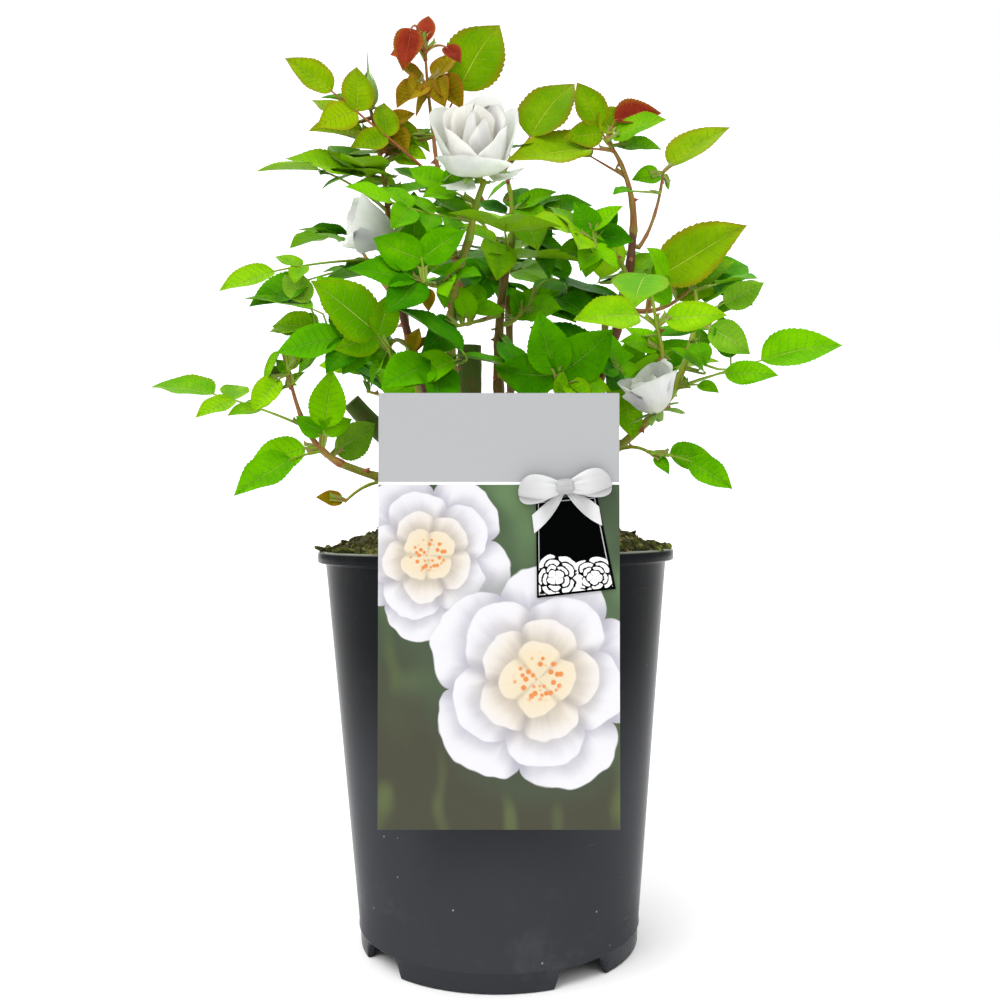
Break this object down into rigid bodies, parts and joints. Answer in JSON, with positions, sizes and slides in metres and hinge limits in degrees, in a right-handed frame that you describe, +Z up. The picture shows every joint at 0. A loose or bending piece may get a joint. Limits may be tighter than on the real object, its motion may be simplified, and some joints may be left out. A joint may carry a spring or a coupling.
{
  "type": "potted rose bush",
  "caption": "Young rose bush in a round tapered nursery pot, with thorny canes, leafy shoots, white blooms, a hanging label card, a small tag and a bow.",
  "frame": {"origin": "on the floor, under the middle of the pot", "axes": "+Z up, the label card hangs on the -Y side, +X to the right as seen from there"},
  "size_m": [0.3532, 0.2368, 0.4797],
  "materials": {
    "pot_black_plastic": "satin, lightly dusty",
    "compost": "moist and crumbly",
    "card_print": "printed and coated",
    "clip_plastic": "satin",
    "tag_print": "printed and coated",
    "bow_white": "satin ribbon",
    "old_bark": "rough bark",
    "green_bark": "smooth green bark with prickles",
    "red_bark": "smooth red-brown bark with prickles",
    "rose_leaf": "soft leaf, slightly glossy",
    "rose_leaf_and_bloom": "leaf with matt white petals"
  },
  "bodies": {
    "root": {"pot": "pot_black_plastic", "root_ball": "compost", "label_card": "card_print", "label_clip": "clip_plastic", "gift_tag": "tag_print", "ribbon_bow": "bow_white", "stem_base": "old_bark", "left_cane": "red_bark", "centre_left_cane": "green_bark", "centre_right_cane": "red_bark", "right_cane": "red_bark", "low_right_cane": "green_bark", "low_left_cane": "green_bark", "left_stub": "green_bark", "centre_stub": "green_bark", "back_left_cane": "green_bark", "back_cane": "green_bark", "back_right_cane": "green_bark", "low_left_shoot": "rose_leaf", "low_left_twig": "rose_leaf", "left_shoot": "rose_leaf_and_bloom", "left_front_twig": "rose_leaf", "top_bloom_shoot": "rose_leaf_and_bloom", "red_tip_shoot": "rose_leaf", "centre_left_twig": "rose_leaf", "centre_right_shoot": "rose_leaf", "inner_left_twig": "rose_leaf", "inner_right_twig": "rose_leaf", "right_shoot": "rose_leaf", "right_side_twig": "rose_leaf", "right_inner_twig": "rose_leaf", "right_mid_shoot": "rose_leaf", "low_right_shoot": "rose_leaf", "right_bloom_shoot": "rose_leaf_and_bloom", "low_right_twig": "rose_leaf", "centre_front_twig": "rose_leaf", "left_low_front_twig": "rose_leaf", "right_front_twig": "rose_leaf", "back_left_shoot": "rose_leaf", "back_shoot": "rose_leaf", "back_right_shoot": "rose_leaf", "back_low_left_twig": "rose_leaf", "back_low_right_twig": "rose_leaf"}
  },
  "joints": []
}
